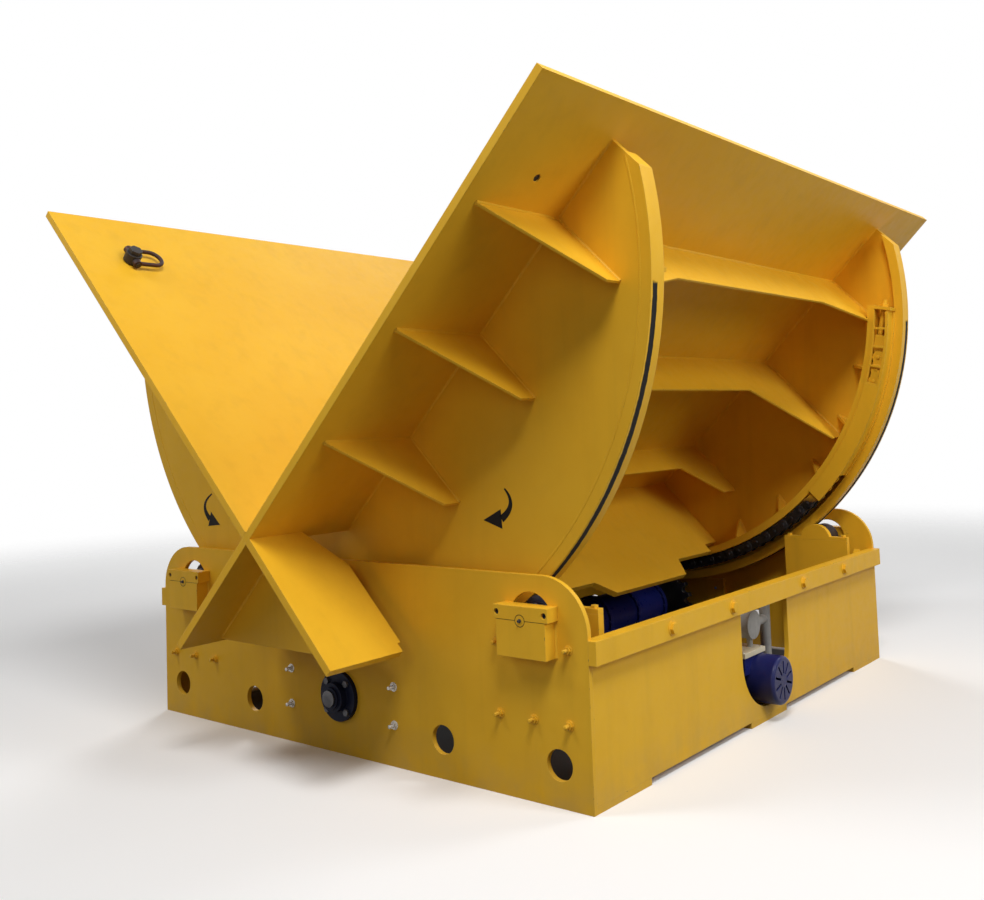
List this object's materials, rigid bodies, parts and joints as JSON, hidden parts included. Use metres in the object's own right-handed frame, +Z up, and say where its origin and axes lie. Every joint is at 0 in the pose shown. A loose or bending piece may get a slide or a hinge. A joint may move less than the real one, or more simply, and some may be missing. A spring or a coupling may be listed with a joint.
{
  "type": "mold upender",
  "caption": "Tilting V-shaped cradle of two right-angled tables on curved rockers, rolling on a plate base and turned by chain sprockets to roll a mold over.",
  "frame": {"origin": "middle of the machine at floor level, under the rim centre", "axes": "+X along the base towards the motor, -Y towards the near side, +Z up"},
  "size_m": [3.66, 4.35, 2.8983],
  "materials": {
    "orange_paint": "satin enamel",
    "blue_paint": "satin enamel",
    "cream_paint": "satin enamel",
    "grey_paint": "satin enamel",
    "black_iron": "black oxide",
    "bare_steel": "turned, lightly oiled",
    "chain_steel": "greased",
    "bronze": "turned"
  },
  "bodies": {
    "base": {"side_plate_near": "orange_paint", "side_plate_far": "orange_paint", "end_plate_right": "orange_paint", "end_plate_left": "orange_paint", "end_rails": "orange_paint", "rail_bolts": "orange_paint", "foot_pads": "orange_paint", "roller_brackets": "orange_paint", "axle_blocks": "orange_paint", "axle_caps": "orange_paint", "cap_bolts": "orange_paint", "side_bolts": "orange_paint", "roller_axles": "bare_steel", "bracket_caps": "orange_paint", "bearing_doublers": "orange_paint", "flange_bearings": "black_iron", "bearing_bolts": "black_iron", "bed_rails": "orange_paint", "gear_reducer": "blue_paint", "reducer_bolts": "blue_paint", "input_gearbox": "blue_paint", "drive_motor": "blue_paint", "fan_cowl": "blue_paint", "terminal_box": "blue_paint", "terminal_lid": "cream_paint", "conduit_riser": "grey_paint", "junction_box": "grey_paint"},
    "cradle": {"table_left": "orange_paint", "table_right": "orange_paint", "leg_plates": "orange_paint", "side_webs": "orange_paint", "rocker_near": "orange_paint", "rocker_far": "orange_paint", "rim_near": "orange_paint", "rim_far": "orange_paint", "outboard_ribs": "orange_paint", "cross_ribs": "orange_paint", "chain_tracks": "orange_paint", "rack_chain_near": "chain_steel", "rack_chain_far": "chain_steel", "chain_anchors": "chain_steel", "hoist_bolts": "black_iron"},
    "drive": {"drive_shaft": "bare_steel", "drive_sprockets": "bare_steel"},
    "roller_near_right": {"roller_near_right": "bare_steel", "roller_bush_near_right": "bronze"},
    "roller_far_right": {"roller_far_right": "bare_steel", "roller_bush_far_right": "bronze"},
    "roller_near_left": {"roller_near_left": "bare_steel", "roller_bush_near_left": "bronze"},
    "roller_far_left": {"roller_far_left": "bare_steel", "roller_bush_far_left": "bronze"},
    "hoist_swivel_near_right": {"hoist_swivel_near_right": "black_iron"},
    "hoist_bail_near_right": {"hoist_bail_near_right": "black_iron"},
    "hoist_swivel_far_right": {"hoist_swivel_far_right": "black_iron"},
    "hoist_bail_far_right": {"hoist_bail_far_right": "black_iron"},
    "hoist_swivel_near_left": {"hoist_swivel_near_left": "black_iron"},
    "hoist_bail_near_left": {"hoist_bail_near_left": "black_iron"},
    "hoist_swivel_far_left": {"hoist_swivel_far_left": "black_iron"},
    "hoist_bail_far_left": {"hoist_bail_far_left": "black_iron"}
  },
  "joints": [
    {"name": "cradle_tilt", "type": "hinge", "parent": "base", "child": "cradle", "pos_m": [0, 0, 2.26], "axis": [0, 1, 0], "range_deg": [-45, 45]},
    {"name": "drive_spin", "type": "hinge", "parent": "base", "child": "drive", "pos_m": [0, 0, 0.28304], "axis": [0, 1, 0], "range_deg": [-304.29, 304.29]},
    {"name": "roller_spin_near_right", "type": "hinge", "parent": "base", "child": "roller_near_right", "pos_m": [1.20848, -1.5, 0.76765], "axis": [0, 1, 0], "range_deg": [-915, 915]},
    {"name": "roller_spin_far_right", "type": "hinge", "parent": "base", "child": "roller_far_right", "pos_m": [1.20848, 1.5, 0.76765], "axis": [0, 1, 0], "range_deg": [-915, 915]},
    {"name": "roller_spin_near_left", "type": "hinge", "parent": "base", "child": "roller_near_left", "pos_m": [-1.20848, -1.5, 0.76765], "axis": [0, 1, 0], "range_deg": [-915, 915]},
    {"name": "roller_spin_far_left", "type": "hinge", "parent": "base", "child": "roller_far_left", "pos_m": [-1.20848, 1.5, 0.76765], "axis": [0, 1, 0], "range_deg": [-915, 915]},
    {"name": "hoist_swivel_turn_near_right", "type": "hinge", "parent": "cradle", "child": "hoist_swivel_near_right", "pos_m": [1.43896, -1.84, 2.62674], "axis": [-0.7071, 0, 0.7071], "continuous": true},
    {"name": "hoist_bail_swing_near_right", "type": "hinge", "parent": "hoist_swivel_near_right", "child": "hoist_bail_near_right", "pos_m": [1.43896, -1.84, 2.62674], "axis": [0.7071, 0, 0.7071], "range_deg": [0, 180]},
    {"name": "hoist_swivel_turn_far_right", "type": "hinge", "parent": "cradle", "child": "hoist_swivel_far_right", "pos_m": [1.43896, 1.84, 2.62674], "axis": [-0.7071, 0, 0.7071], "continuous": true},
    {"name": "hoist_bail_swing_far_right", "type": "hinge", "parent": "hoist_swivel_far_right", "child": "hoist_bail_far_right", "pos_m": [1.43896, 1.84, 2.62674], "axis": [-0.7071, 0, -0.7071], "range_deg": [0, 180]},
    {"name": "hoist_swivel_turn_near_left", "type": "hinge", "parent": "cradle", "child": "hoist_swivel_near_left", "pos_m": [-1.43896, -1.84, 2.62674], "axis": [0.7071, 0, 0.7071], "continuous": true},
    {"name": "hoist_bail_swing_near_left", "type": "hinge", "parent": "hoist_swivel_near_left", "child": "hoist_bail_near_left", "pos_m": [-1.43896, -1.84, 2.62674], "axis": [0.7071, 0, -0.7071], "range_deg": [0, 180]},
    {"name": "hoist_swivel_turn_far_left", "type": "hinge", "parent": "cradle", "child": "hoist_swivel_far_left", "pos_m": [-1.43896, 1.84, 2.62674], "axis": [0.7071, 0, 0.7071], "continuous": true},
    {"name": "hoist_bail_swing_far_left", "type": "hinge", "parent": "hoist_swivel_far_left", "child": "hoist_bail_far_left", "pos_m": [-1.43896, 1.84, 2.62674], "axis": [-0.7071, 0, 0.7071], "range_deg": [0, 180]}
  ],
  "couplings": [
    {"joint": "drive_spin", "follows": "cradle_tilt", "ratio": -6.7619},
    {"joint": "roller_spin_near_right", "follows": "cradle_tilt", "ratio": -20.333},
    {"joint": "roller_spin_far_right", "follows": "cradle_tilt", "ratio": -20.333},
    {"joint": "roller_spin_near_left", "follows": "cradle_tilt", "ratio": -20.333},
    {"joint": "roller_spin_far_left", "follows": "cradle_tilt", "ratio": -20.333}
  ]
}
